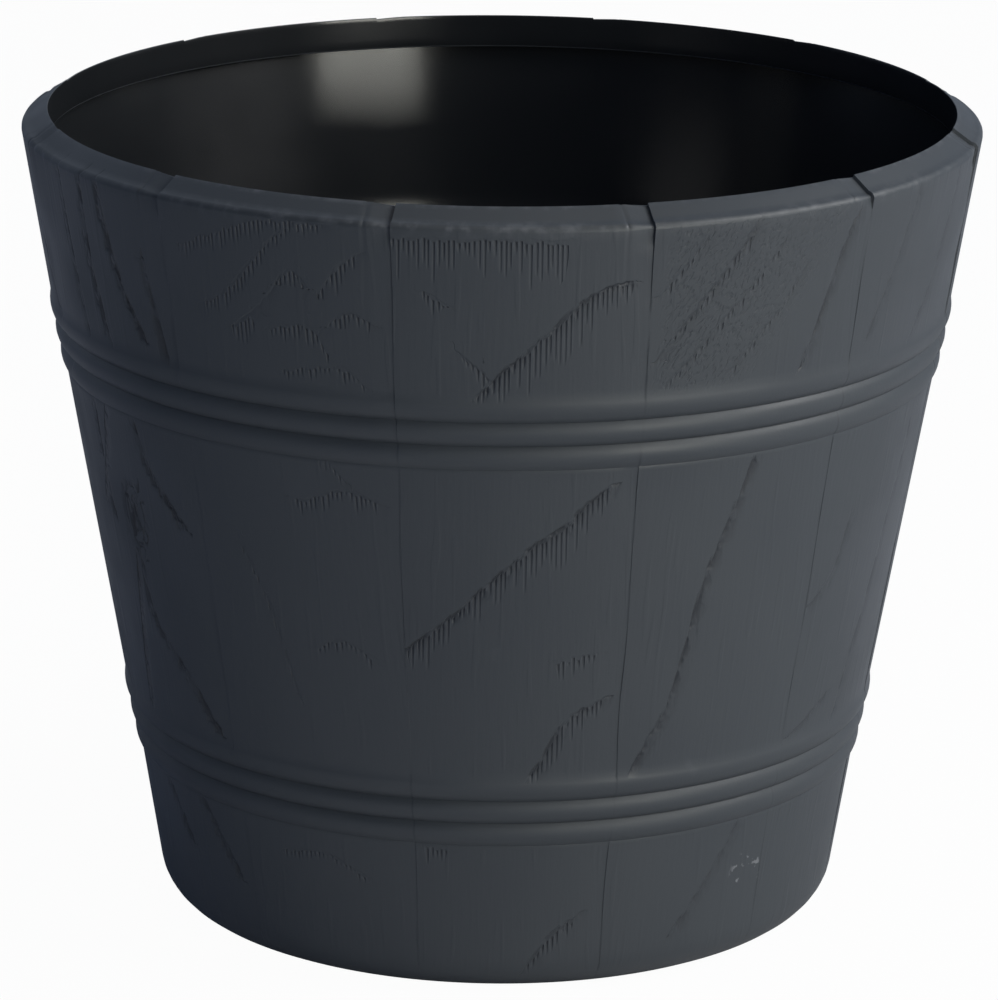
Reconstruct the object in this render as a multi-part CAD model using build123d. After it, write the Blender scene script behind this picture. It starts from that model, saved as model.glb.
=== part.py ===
from build123d import *
import math
import os

# Plastic flower pot, in millimetres: a tapered floor planter, moulded in one wall to look like
# a tub of upright staves held by two hoops, with pull-out plugs in its drain holes.
# The origin is the middle of the base on the ground, +Z is up and -Y is the front.

# Overall size
pot_height = 342.0
rim_radius = 200.0

# Taper of the three bands of staves, in degrees from the upright
upper_taper = 9.3
middle_taper = 9.9
lower_taper = 9.1

# Hoops, each a stack of rounded ribs; the band under a hoop stands in by the hoop's step
upper_hoop_top = 264.0
lower_hoop_top = 98.0
rib_count = 3
rib_pitch = 10.0
rib_depth = 1.2
rib_crown = 1.1
rib_echo = 0.8
upper_hoop_step = 1.0
lower_hoop_step = 1.0

# Stave joints: a shallow bevelled strip on one side of each joint line
stave_count = 12
first_joint_angle = -102.5
joint_width = 11.0
joint_depth = 1.4

# Rim: a sloping top with a rounded shoulder, and a lip turned down inside it
rim_width = 11.0
rim_drop = 8.5
shoulder_width = 3.0
shoulder_drop = 3.0
shoulder_bulge = 0.6
lip_height = 14.5
lip_thickness = 3.2

# Wall, base corner, raised floor and the foot ring round it
wall_thickness = 3.5
floor_thickness = 4.0
base_corner_radius = 19.0
foot_width = 30.0
foot_height = 4.0
foot_rounding = 1.5

# Drain holes in the raised floor
drain_count = 4
drain_hole_radius = 8.0
drain_circle_radius = 62.0
first_drain_angle = 45.0

# Drain plug: a flange on the floor, a shank in the hole and a knob to pull
plug_clearance = 0.05
plug_flange_overlap = 5.0
plug_flange_thickness = 2.5
plug_shank_reach = 2.0
plug_shank_chamfer = 0.8
plug_neck_radius = 3.2
plug_neck_height = 3.0
plug_knob_radius = 6.0
plug_knob_height = 3.6
plug_rounding = 0.8

# Heights and radii that follow from those sizes
shoulder_height = pot_height - rim_drop
mouth_radius = rim_radius - rim_width
upper_hoop_bottom = upper_hoop_top - rib_count * rib_pitch
lower_hoop_bottom = lower_hoop_top - rib_count * rib_pitch
floor_top = foot_height + floor_thickness


def slope(taper):
    return math.tan(math.radians(taper))


def wall_across(taper):
    # The wall's thickness measured level, on a band that leans out by the taper
    return wall_thickness / math.cos(math.radians(taper))


def upper_radius(height):
    return rim_radius - (shoulder_height - height) * slope(upper_taper)


middle_top_radius = upper_radius(upper_hoop_bottom) - upper_hoop_step


def middle_radius(height):
    return middle_top_radius - (upper_hoop_bottom - height) * slope(middle_taper)


lower_top_radius = middle_radius(lower_hoop_bottom) - lower_hoop_step


def lower_radius(height):
    return lower_top_radius - (lower_hoop_bottom - height) * slope(lower_taper)


foot_inner_radius = lower_radius(0) - foot_width


# A section is a list of steps: a point (radius, height) is reached by a straight line,
# and a pair of points (middle, end) by an arc.
def rounded(before, corner, after, radius):
    towards_before = (Vector(*before) - Vector(*corner)).normalized()
    towards_after = (Vector(*after) - Vector(*corner)).normalized()
    half_angle = math.radians(towards_before.get_angle(towards_after)) / 2
    reach = radius / math.tan(half_angle)
    inward = (towards_before + towards_after).normalized()
    start = Vector(*corner) + towards_before * reach
    end = Vector(*corner) + towards_after * reach
    middle = Vector(*corner) + inward * (radius / math.sin(half_angle) - radius)
    return [(start.X, start.Y), ((middle.X, middle.Y), (end.X, end.Y))]


def ribs(start, end, depth, crown):
    # Rounded ribs stacked from start to end, with a groove between each two
    steps = []
    for number in range(rib_count):
        inset = 0 if number == rib_count - 1 else depth
        share = (number + 1) / rib_count
        middle_share = (number + 0.5) / rib_count
        rib_end = (start[0] + (end[0] - start[0]) * share - inset, start[1] + (end[1] - start[1]) * share)
        crest_radius = start[0] + (end[0] - start[0]) * middle_share + crown
        crest_height = start[1] + (end[1] - start[1]) * middle_share
        steps.append(((crest_radius, crest_height), rib_end))
    return steps


def revolved(steps):
    # Turn a closed section once round the pot's axis
    edges = []
    here = steps[0]
    for step in steps[1:] + [steps[0]]:
        if isinstance(step[0], tuple):
            middle, end = step
            start = (here[0], 0, here[1])
            edges.append(ThreePointArc(start, (middle[0], 0, middle[1]), (end[0], 0, end[1])))
            here = end
        else:
            edges.append(Line((here[0], 0, here[1]), (step[0], 0, step[1])))
            here = step
    return revolve(Face(Wire(edges)), Axis.Z, 360)


# Rim points: mouth edge, slope, shoulder
mouth_edge = (mouth_radius, pot_height)
slope_end = (rim_radius - shoulder_width, shoulder_height + shoulder_drop)
shoulder_middle = (
    rim_radius - shoulder_width / 2 + shoulder_bulge,
    shoulder_height + shoulder_drop / 2 + shoulder_bulge,
)
shoulder_end = (rim_radius, shoulder_height)
rim_slope = (mouth_edge[1] - slope_end[1]) / (slope_end[0] - mouth_edge[0])
rim_lean = 90 - math.degrees(math.atan(rim_slope))


def rim_underside(radius):
    # The rim keeps the wall's thickness under its slope
    drop = wall_thickness * math.sqrt(1 + rim_slope ** 2)
    return pot_height - (radius - mouth_radius) * rim_slope - drop


def outer_steps():
    ground_corner = (lower_radius(0), 0)
    lower_end = (lower_radius(lower_hoop_bottom), lower_hoop_bottom)
    middle_start = (middle_radius(lower_hoop_top), lower_hoop_top)
    middle_end = (middle_radius(upper_hoop_bottom), upper_hoop_bottom)
    upper_start = (upper_radius(upper_hoop_top), upper_hoop_top)
    foot_corner = (foot_inner_radius, 0)
    steps = rounded((foot_inner_radius, foot_height), foot_corner, ground_corner, foot_rounding)
    steps += rounded(foot_corner, ground_corner, lower_end, base_corner_radius)
    steps += [lower_end] + ribs(lower_end, middle_start, rib_depth, rib_crown)
    steps += [middle_end] + ribs(middle_end, upper_start, rib_depth, rib_crown)
    steps += [shoulder_end, (shoulder_middle, slope_end), mouth_edge]
    return steps


def inner_steps():
    lip_back = mouth_radius + lip_thickness
    across = wall_across(upper_taper)
    top_radius = upper_radius(shoulder_height) - across
    upper_end = (upper_radius(upper_hoop_top) - across, upper_hoop_top)
    middle_start = (middle_radius(upper_hoop_bottom) - wall_across(middle_taper), upper_hoop_bottom)
    middle_end = (middle_radius(lower_hoop_top) - wall_across(middle_taper), lower_hoop_top)
    lower_start = (lower_radius(lower_hoop_bottom) - wall_across(lower_taper), lower_hoop_bottom)
    gutter_corner = (lower_radius(floor_thickness) - wall_across(lower_taper), floor_thickness)
    step_foot = (foot_inner_radius + floor_thickness, floor_thickness)
    step_head = (foot_inner_radius + floor_thickness, floor_top)
    steps = [(mouth_radius, pot_height - lip_height), (lip_back, pot_height - lip_height)]
    steps += [(lip_back, rim_underside(lip_back)), (top_radius, rim_underside(top_radius))]
    # The inside of the wall repeats the ribs outside it, more softly
    steps += [upper_end] + ribs(upper_end, middle_start, rib_echo, 0)
    steps += [middle_end] + ribs(middle_end, lower_start, rib_echo, 0)
    steps += rounded(lower_start, gutter_corner, step_foot, base_corner_radius - wall_thickness)
    steps += rounded(gutter_corner, step_foot, step_head, foot_rounding)
    steps += rounded(step_foot, step_head, (0, floor_top), foot_rounding)
    steps += [(0, floor_top), (0, foot_height), (foot_inner_radius, foot_height)]
    return steps


def joint_section(radius, height, lean):
    # A section of the joint's cutter, square to the surface, whose outward side leans up by lean
    outward = Vector(math.cos(math.radians(lean)), 0, math.sin(math.radians(lean)))
    along = Vector(0, joint_width, 0)
    foot = Vector(radius, 0, height)
    fall = (radius - math.sqrt(radius ** 2 - joint_width ** 2)) * math.cos(math.radians(lean))
    corners = [
        foot - along - outward * fall,
        foot - outward * joint_depth,
        foot + outward * joint_depth * 2,
        foot - along + outward * joint_depth * 2,
    ]
    return Face(Wire.make_polygon(corners, close=True))


def joint_cutter():
    past_mouth = joint_width / 2
    sections = [
        joint_section(lower_radius(-foot_height), -foot_height, -lower_taper),
        joint_section(lower_radius(lower_hoop_bottom), lower_hoop_bottom, -lower_taper),
        joint_section(middle_radius(lower_hoop_top), lower_hoop_top, -middle_taper),
        joint_section(middle_radius(upper_hoop_bottom), upper_hoop_bottom, -middle_taper),
        joint_section(upper_radius(upper_hoop_top), upper_hoop_top, -upper_taper),
        joint_section(rim_radius, shoulder_height, 0),
        joint_section(shoulder_middle[0], shoulder_middle[1], rim_lean / 2),
        joint_section(slope_end[0], slope_end[1], rim_lean),
        joint_section(mouth_radius - past_mouth, pot_height + past_mouth * rim_slope, rim_lean),
    ]
    return loft(sections, ruled=True)


def drain_place(number):
    angle = math.radians(first_drain_angle + 360 / drain_count * number)
    return drain_circle_radius * math.cos(angle), drain_circle_radius * math.sin(angle)


def make_pot_shell():
    shell = revolved(outer_steps() + inner_steps())
    cutter = joint_cutter()
    joints = []
    for number in range(stave_count):
        joints.append(cutter.rotate(Axis.Z, first_joint_angle + 360 / stave_count * number))
    shell = shell - joints
    holes = []
    for number in range(drain_count):
        across, deep = drain_place(number)
        holes.append(Pos(across, deep, floor_top / 2) * Cylinder(drain_hole_radius, floor_top * 2))
    return shell - holes


def make_drain_plug():
    # The plug stands at the origin with its flange's underside at height 0
    shank = drain_hole_radius - plug_clearance
    flange = drain_hole_radius + plug_flange_overlap
    tip = -floor_thickness - plug_shank_reach
    knob_bottom = plug_flange_thickness + plug_neck_height
    knob_top = knob_bottom + plug_knob_height
    tip_corner = (shank, tip)
    flange_corner = (flange, plug_flange_thickness)
    neck_foot = (plug_neck_radius, plug_flange_thickness)
    knob_low = (plug_knob_radius, knob_bottom)
    knob_high = (plug_knob_radius, knob_top)
    steps = [(0, tip), (shank - plug_shank_chamfer, tip), (shank, tip + plug_shank_chamfer)]
    steps += [(shank, 0), (flange, 0)]
    steps += rounded((flange, 0), flange_corner, neck_foot, plug_rounding)
    steps += rounded(flange_corner, neck_foot, (plug_neck_radius, knob_bottom), plug_rounding)
    steps += [(plug_neck_radius, knob_bottom)]
    steps += rounded((plug_neck_radius, knob_bottom), knob_low, knob_high, plug_rounding)
    steps += rounded(knob_low, knob_high, (0, knob_top), plug_rounding)
    steps += [(0, knob_top)]
    return revolved(steps)


os.makedirs("parts", exist_ok=True)
export_step(make_pot_shell(), "parts/pot_shell.step")
for plug_number in range(drain_count):
    plug_x, plug_y = drain_place(plug_number)
    plug = Pos(plug_x, plug_y, floor_top) * make_drain_plug()
    export_step(plug, f"parts/drain_plug_{plug_number + 1}.step")
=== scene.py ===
import math
import random

import bmesh
import bpy
import numpy as np
from mathutils import Matrix, Vector, noise
from mathutils.geometry import delaunay_2d_cdt


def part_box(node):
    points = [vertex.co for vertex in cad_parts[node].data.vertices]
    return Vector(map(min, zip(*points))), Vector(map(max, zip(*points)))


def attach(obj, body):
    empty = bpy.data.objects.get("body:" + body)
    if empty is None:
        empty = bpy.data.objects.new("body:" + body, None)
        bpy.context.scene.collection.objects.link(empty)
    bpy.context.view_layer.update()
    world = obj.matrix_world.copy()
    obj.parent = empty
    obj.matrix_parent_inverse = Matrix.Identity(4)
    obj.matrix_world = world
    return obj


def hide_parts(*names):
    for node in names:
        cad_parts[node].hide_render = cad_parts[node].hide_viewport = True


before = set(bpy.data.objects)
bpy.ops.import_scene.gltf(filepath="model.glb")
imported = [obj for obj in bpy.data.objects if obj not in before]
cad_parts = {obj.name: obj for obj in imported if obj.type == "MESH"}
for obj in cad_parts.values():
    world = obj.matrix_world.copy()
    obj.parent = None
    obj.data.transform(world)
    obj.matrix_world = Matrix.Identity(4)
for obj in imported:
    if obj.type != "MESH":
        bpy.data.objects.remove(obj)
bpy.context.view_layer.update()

shellLow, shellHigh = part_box("pot_shell")
mm = 0.001
print("frame loaded, pot is", [round((high - low) / mm) for low, high in zip(shellLow, shellHigh)], "mm")

# Section of the pot in millimetres; its height and rim radius come from the frame
potShape = {
    "height": (shellHigh[2] - shellLow[2]) / mm,
    "rimRadius": (shellHigh[0] - shellLow[0]) / 2 / mm,
    "upperTaper": 9.3,  # degrees from the upright
    "middleTaper": 9.9,
    "lowerTaper": 9.1,
    "upperHoopTop": 264.0,
    "lowerHoopTop": 98.0,
    "ribCount": 3,
    "ribPitch": 10.0,
    "ribDepth": 1.1,
    "ribCrown": 1.1,
    "hoopFootGroove": 0.35,
    "ribEcho": 0.8,
    "upperHoopStep": 1.0,
    "lowerHoopStep": 1.0,
    "rimWidth": 11.0,
    "rimDrop": 8.5,
    "shoulderWidth": 3.0,
    "shoulderDrop": 3.0,
    "shoulderBulge": 0.6,
    "mouthRounding": 0.25,
    "lipHeight": 14.5,
    "lipThickness": 3.2,
    "lipRounding": 0.6,
    "lipFaceTop": 6.0,  # where the lip's inner face starts under the rim's top
    "wall": 3.5,
    "floor": 4.0,
    "cornerRadius": 19.0,
    "footWidth": 30.0,
    "footHeight": 4.0,
    "footRounding": 1.5,
}

# Rows of the mesh: spacing in millimetres, and points in each rib, corner and small rounding
meshRows = {
    "bandStep": 4.0,
    "rimStep": 2.5,
    "insideStep": 9.0,
    "lipStep": 4.0,
    "roofStep": 2.0,
    "ribPoints": 8,
    "insideRibPoints": 5,
    "cornerPoints": 8,
    "insideCornerPoints": 7,
    "shoulderPoints": 5,
    "smallPoints": 3,
    "overMouth": 3,  # rows that run over the mouth's edge and down inside it
}

# Columns of one stave, in degrees from the joint line on its left; close together at the joints
staveColumns = (
    [0.0, 0.15, 0.4, 0.8]
    + [1.4 + 0.755 * step for step in range(34)]
    + [26.62, 26.82, 27.02]
    + [27.5, 28.0, 28.5, 29.0, 29.4, 29.7, 29.93]
)
coarseStep = 4  # the inside keeps every fourth column

staves = {
    "count": 12,
    "firstJoint": -12.5,  # degrees from the front towards +X
    "jointDepth": 1.4 * mm,
    "stripWidth": 11.0 * mm,
    "hairlineDepth": 0.35 * mm,
    "hairlineWidth": 0.7 * mm,
    "plankShare": 0.24,  # how much of the depth at the rim a joint has between planks
    "hoopShare": 0.1,  # and across a hoop
    "farMouthShare": 0.4,  # and on the rim's far side
    "faintJoints": {1: 0.45},  # the joint right of this stave hardly shows
    "lowJointShare": 0.55,  # joints show less below the upper hoop
    "unevenness": 2.2,  # how much a joint's depth comes and goes along it
    "unevenLength": 22.0,
    "shallowest": 0.15,
    "seedStep": 3.7,
    "undulation": 0.352 * mm,
    "undulationDetail": 1.5,
    "undulationScale": 18.0,
    "undulationStretch": 0.35,
    "wander": 1.2,  # millimetres that a joint line strays sideways, over the wander's length
    "wanderLength": 45.0,
    "wanderReach": 8.0,  # degrees from the joint that stray with it
    "sharpAngle": 38.0,
}
staveTurn = 360 / staves["count"]


def slope(taper):
    return math.tan(math.radians(taper))


def potRadii():
    # The wall's radius at any height, one function for each band of staves
    shape = potShape
    shoulder = shape["height"] - shape["rimDrop"]
    hoopWidth = shape["ribCount"] * shape["ribPitch"]
    upperBottom = shape["upperHoopTop"] - hoopWidth
    lowerBottom = shape["lowerHoopTop"] - hoopWidth

    def upper(height):
        return shape["rimRadius"] - (shoulder - height) * slope(shape["upperTaper"])

    def middle(height):
        top = upper(upperBottom) - shape["upperHoopStep"]
        return top - (upperBottom - height) * slope(shape["middleTaper"])

    def lower(height):
        top = middle(lowerBottom) - shape["lowerHoopStep"]
        return top - (lowerBottom - height) * slope(shape["lowerTaper"])

    return upper, middle, lower, shoulder, upperBottom, lowerBottom


upperRadius, middleRadius, lowerRadius, shoulderHeight, upperHoopBottom, lowerHoopBottom = potRadii()
mouthRadius = potShape["rimRadius"] - potShape["rimWidth"]
footInner = lowerRadius(0) - potShape["footWidth"]
floorTop = potShape["footHeight"] + potShape["floor"]


def arcThrough(start, middle, end, count):
    # Points of the arc through three points, the start left out
    ax, ay = start
    bx, by = middle
    cx, cy = end
    across = 2 * (ax * (by - cy) + bx * (cy - ay) + cx * (ay - by))
    aa, bb, cc = ax * ax + ay * ay, bx * bx + by * by, cx * cx + cy * cy
    ox = (aa * (by - cy) + bb * (cy - ay) + cc * (ay - by)) / across
    oy = (aa * (cx - bx) + bb * (ax - cx) + cc * (bx - ax)) / across
    radius = math.hypot(ax - ox, ay - oy)
    first = math.atan2(ay - oy, ax - ox)
    last = math.atan2(cy - oy, cx - ox)
    turn = (last - first + math.pi) % (2 * math.pi) - math.pi
    angles = [first + turn * (step + 1) / count for step in range(count)]
    return [(ox + radius * math.cos(angle), oy + radius * math.sin(angle)) for angle in angles]


def roundedCorner(before, corner, after, radius, count):
    # Points that round a corner of the section
    towardsBefore = (Vector(before) - Vector(corner)).normalized()
    towardsAfter = (Vector(after) - Vector(corner)).normalized()
    half = towardsBefore.angle(towardsAfter) / 2
    start = Vector(corner) + towardsBefore * radius / math.tan(half)
    end = Vector(corner) + towardsAfter * radius / math.tan(half)
    middle = Vector(corner) + (towardsBefore + towardsAfter).normalized() * (radius / math.sin(half) - radius)
    return [tuple(start)] + arcThrough(tuple(start), tuple(middle), tuple(end), count)


def between(start, end, share):
    return start[0] + (end[0] - start[0]) * share, start[1] + (end[1] - start[1]) * share


def straight(start, end, step):
    # Points from start to end, about step apart, the start left out
    length = math.dist(start, end)
    count = max(1, round(length / step))
    return [between(start, end, (number + 1) / count) for number in range(count)]


def ribPoints(start, end, depth, crown, count, footGroove=0.0, headGroove=0.0):
    # Rounded ribs stacked from start to end, with a groove between each two
    points = []
    here = (start[0] - headGroove, start[1])
    ribCount = potShape["ribCount"]
    for number in range(ribCount):
        inset = footGroove if number == ribCount - 1 else depth
        endRadius, endHeight = between(start, end, (number + 1) / ribCount)
        crestRadius, crestHeight = between(start, end, (number + 0.5) / ribCount)
        ribEnd = (endRadius - inset, endHeight)
        points += arcThrough(here, (crestRadius + crown, crestHeight), ribEnd, count)
        here = ribEnd
    return points


def rimLine():
    # Mouth edge, end of the rim's slope, middle and end of its shoulder
    shape = potShape
    rim = shape["rimRadius"]
    slopeEnd = (rim - shape["shoulderWidth"], shoulderHeight + shape["shoulderDrop"])
    bulge = shape["shoulderBulge"]
    shoulderMiddle = (
        rim - shape["shoulderWidth"] / 2 + bulge,
        shoulderHeight + shape["shoulderDrop"] / 2 + bulge,
    )
    return (mouthRadius, shape["height"]), slopeEnd, shoulderMiddle, (rim, shoulderHeight)


def rimUnderside(radius):
    mouth, slopeEnd, _, _ = rimLine()
    fall = (mouth[1] - slopeEnd[1]) / (slopeEnd[0] - mouth[0])
    return potShape["height"] - (radius - mouthRadius) * fall - potShape["wall"] * math.hypot(1, fall)


# Rows under a hoop: millimetres below it, share of the groove's depth, share of the planks' relief
hoopFoot = ((1.8, 0, 0.6), (0.7, 0.25, 0.2))

# Rows of the mouth's inner face: millimetres below the rim's top and share of the joints' depth
mouthFace = ((2.2, 1), (4.4, 0))


def outerRows():
    # Rows of the outside from the foot ring to the mouth: radius, height, joint share, plank share
    shape = potShape
    rows = []

    def add(points, joint, plank):
        rows.extend((radius, height, joint, plank) for radius, height in points)

    ground = (lowerRadius(0), 0)
    foot = (footInner, 0)
    lowerEnd = (lowerRadius(lowerHoopBottom), lowerHoopBottom)
    middleStart = (middleRadius(shape["lowerHoopTop"]), shape["lowerHoopTop"])
    middleEnd = (middleRadius(upperHoopBottom), upperHoopBottom)
    upperStart = (upperRadius(shape["upperHoopTop"]), shape["upperHoopTop"])
    mouth, slopeEnd, shoulderMiddle, shoulderEnd = rimLine()
    small = meshRows["smallPoints"]
    add(roundedCorner((footInner, shape["footHeight"]), foot, ground, shape["footRounding"], small)[1:], 0, 0)
    corner = roundedCorner(foot, ground, lowerEnd, shape["cornerRadius"], meshRows["cornerPoints"])
    plank, hoop = staves["plankShare"], staves["hoopShare"]
    for number, point in enumerate(corner):
        risen = max(0, number / meshRows["cornerPoints"] * 2 - 1)
        add([point], plank * risen, risen)
    groove = shape["hoopFootGroove"]
    sharp = (shape["ribDepth"], shape["ribCrown"], meshRows["ribPoints"])

    def hoopRows(below, above):
        # Up the hoop: out of the groove at its foot, then over the ribs
        lean = (above[0] - below[0]) / (above[1] - below[1])
        for under, sunk, relief in hoopFoot:
            add([(below[0] - under * lean - groove * sunk, below[1] - under)], plank, relief)
        add([(below[0] - groove, below[1])], hoop, 0)
        add(ribPoints(below, above, *sharp, headGroove=groove)[:-1], hoop, 0)
        add([above], plank, 0.3)

    add(straight(corner[-1], lowerEnd, meshRows["bandStep"])[:-1], plank, 1)
    hoopRows(lowerEnd, middleStart)
    add(straight(middleStart, middleEnd, meshRows["bandStep"])[:-1], plank, 1)
    hoopRows(middleEnd, upperStart)
    wall = straight(upperStart, shoulderEnd, meshRows["bandStep"])
    add(wall[:-2], plank, 1)
    add(wall[-2:-1], (1 + plank) / 2, 1)
    add(wall[-1:], 1, 1)
    add(arcThrough(shoulderEnd, shoulderMiddle, slopeEnd, meshRows["shoulderPoints"]), 1, 0.25)
    below = (mouthRadius, mouth[1] - shape["lipHeight"])
    mouthCorner = roundedCorner(slopeEnd, mouth, below, shape["mouthRounding"], small)
    add(straight(slopeEnd, mouthCorner[0], meshRows["rimStep"]), 1, 0.15)
    slopeRows = len(rows)
    add(mouthCorner[1:], 1, 0)
    for drop, joint in mouthFace:
        add([(mouthRadius, mouth[1] - drop)], joint, 0)
    return rows, slopeRows


def insideRows():
    # Rows of the inside from the mouth down to the raised floor
    shape = potShape
    step, small, ribs = meshRows["insideStep"], meshRows["smallPoints"], meshRows["insideRibPoints"]
    lipBack = mouthRadius + shape["lipThickness"]
    lipFoot = shape["height"] - shape["lipHeight"]
    tapers = ("upperTaper", "middleTaper", "lowerTaper")
    upperWall, middleWall, lowerWall = [
        shape["wall"] / math.cos(math.radians(shape[name])) for name in tapers
    ]
    topRadius = upperRadius(shoulderHeight) - upperWall
    roof = rimUnderside(lipBack)
    top = (topRadius, rimUnderside(topRadius))
    upperEnd = (upperRadius(shape["upperHoopTop"]) - upperWall, shape["upperHoopTop"])
    middleStart = (middleRadius(upperHoopBottom) - middleWall, upperHoopBottom)
    middleEnd = (middleRadius(shape["lowerHoopTop"]) - middleWall, shape["lowerHoopTop"])
    lowerStart = (lowerRadius(lowerHoopBottom) - lowerWall, lowerHoopBottom)
    gutter = (lowerRadius(shape["floor"]) - lowerWall, shape["floor"])
    stepFoot = (footInner + shape["floor"], shape["floor"])
    stepHead = (footInner + shape["floor"], floorTop)
    innerCorner, outerCorner = (mouthRadius, lipFoot), (lipBack, lipFoot)
    points = [(mouthRadius, shape["height"] - shape["lipFaceTop"])]
    lipInner = roundedCorner(points[0], innerCorner, outerCorner, shape["lipRounding"], small)
    lipOuter = roundedCorner(innerCorner, outerCorner, (lipBack, roof), shape["lipRounding"], small)
    points += straight(points[-1], lipInner[0], meshRows["lipStep"])[:-1]
    trimmedStart = len(points)
    points += lipInner + lipOuter
    trimmedEnd = len(points)
    points += straight(lipOuter[-1], (lipBack, roof), meshRows["lipStep"])
    points += straight((lipBack, roof), top, meshRows["roofStep"])
    points += straight(top, upperEnd, step)
    points += ribPoints(upperEnd, middleStart, shape["ribEcho"], 0, ribs)
    points += straight(middleStart, middleEnd, step)
    points += ribPoints(middleEnd, lowerStart, shape["ribEcho"], 0, ribs)
    cornerRadius = shape["cornerRadius"] - shape["wall"]
    corner = roundedCorner(lowerStart, gutter, stepFoot, cornerRadius, meshRows["insideCornerPoints"])
    points += straight(lowerStart, corner[0], step)[:-1] + corner
    points += roundedCorner(gutter, stepFoot, stepHead, shape["footRounding"], small)
    points += roundedCorner(stepFoot, stepHead, (0, floorTop), shape["footRounding"], small)
    return points, trimmedStart, trimmedEnd


# Grain lines moulded on the staves that the front shows. Each has its points, in millimetres across
# from the stave's middle and up from the ground, its crease (0 to 1) and the reach of its ticks.
staveGrain = {
    0: [
        ([(-54, 331), (-28, 331), (0, 331), (16, 330)], 0.1, 20),
        ([(43, 313), (33, 311), (23, 305), (10, 292), (-7, 277), (-18, 265)], 0.8, 19),
        ([(-39, 309), (-28, 303)], 0.1, 8),
        ([(-25, 285), (-8, 269)], 0.2, 9),
        ([(36, 226), (25, 218), (20, 210), (8, 204), (-11, 186), (-30, 167), (-43, 156)], 0.9, 17),
        ([(35, 133), (21, 126), (16, 118), (11, 108), (4, 96)], 0.8, 12),
        ([(32, 154), (16, 151)], 0.1, 9),
        ([(27, 35), (14, 26), (6, 12)], 0.4, 7),
        ([(-37, 68), (-27, 66)], 0.1, 9),
    ],
    1: [
        ([(-9, 332), (-20, 315), (-33, 298), (-45, 281)], 0.5, 8),
        ([(-30, 331), (-38, 318), (-48, 306)], 0.2, 6),
        ([(4, 322), (-12, 302), (-28, 284), (-40, 270)], 0.25, 5),
        ([(16, 308), (2, 290), (-14, 272)], 0.2, 4),
        ([(43, 328), (37, 316), (33, 304), (27, 284), (21, 269)], 0.8, 3),
        ([(5, 236), (1, 223), (-6, 202), (-14, 180), (-18, 150), (-23, 125), (-33, 107), (-37, 97)], 1.0, 2),
        ([(20, 65), (9, 46), (3, 36), (-7, 22)], 0.6, 2),
    ],
    2: [
        ([(-20, 330), (-30, 300), (-40, 276)], 0.5, 3),
        ([(-25, 193), (-30, 170), (-41, 160)], 0.5, 2),
        ([(-16, 113), (-38, 100)], 0.5, 2),
        ([(20, 330), (10, 290), (-4, 268)], 0.4, 3),
        ([(20, 220), (8, 160), (-6, 102)], 0.5, 2),
    ],
    -1: [
        ([(-42, 318), (-23, 326), (-6, 333), (6, 334), (26, 334)], 0.1, 8),
        ([(-33, 294), (-17, 304), (-7, 316), (3, 327), (12, 333)], 0.15, 7),
        ([(-18, 287), (-4, 297), (6, 313), (12, 314), (19, 301), (27, 315), (38, 323)], 0.2, 11),
        ([(-2, 288), (8, 291), (18, 291), (23, 280)], 0.1, 10),
        ([(20, 289), (32, 300), (42, 294)], 0.15, 9),
        ([(2, 271), (11, 273), (30, 276), (38, 267)], 0.1, 6),
        ([(10, 240), (19, 234), (26, 225)], 0.2, 7),
        ([(1, 216), (8, 216), (24, 224), (38, 218)], 0.15, 9),
        ([(-27, 194), (-15, 171), (-4, 126)], 0.15, 4),
        ([(6, 152), (18, 158), (30, 150)], 0.1, 6),
        ([(-20, 56), (0, 60), (18, 50)], 0.1, 4),
    ],
    -2: [
        ([(0, 334), (-2, 304), (1, 282), (5, 265)], 1.5, 2),
        ([(13, 334), (15, 315), (21, 290), (30, 274)], 1.7, 4),
        ([(38, 306), (41, 282), (43, 266)], 1.2, 3),
        ([(-20, 334), (-19, 300), (-14, 266)], 1.0, 2),
        ([(-14, 235), (-22, 212), (-32, 190)], 1.2, 0),
        ([(-24, 236), (-25, 210), (-23, 186)], 1.3, 0),
        ([(-6, 197), (-2, 190), (-4, 181)], 1.8, 0),
        ([(3, 199), (-1, 190), (3, 180)], 1.8, 0),
        ([(10, 237), (15, 215), (24, 204), (35, 192)], 1.6, 4),
        ([(-8, 170), (-15, 139), (-21, 100)], 1.6, 3),
        ([(-2, 168), (0, 143), (12, 133), (22, 122), (34, 104)], 1.4, 3),
        ([(-16, 69), (-10, 59), (-2, 46)], 1.2, 2),
        ([(12, 69), (21, 55), (31, 38)], 1.3, 2),
    ],
    -3: [
        ([(34, 334), (38, 300), (44, 268)], 0.6, 2),
        ([(30, 230), (20, 170), (34, 104)], 0.5, 2),
    ],
}

# A knot on the left stave: rings in the grain round a middle point
knot = {"stave": -2, "middle": (-2, 189), "rings": [(7, 13)], "points": 14, "crease": 0.9}

# Grain lines of the staves that the front doesn't show follow a rule with a fixed seed
otherGrain = {"seed": 7, "perBand": (2, 4), "crease": (0.15, 0.9), "reach": (2, 16), "fall": (14, 60)}


def knotLines():
    lines = []
    for wide, high in knot["rings"]:
        turns = [2 * math.pi * number / knot["points"] for number in range(knot["points"] + 1)]
        middle = knot["middle"]
        ring = [(middle[0] + wide * math.cos(turn), middle[1] + high * math.sin(turn)) for turn in turns]
        lines.append((ring, knot["crease"], 0))
    return lines


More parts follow.
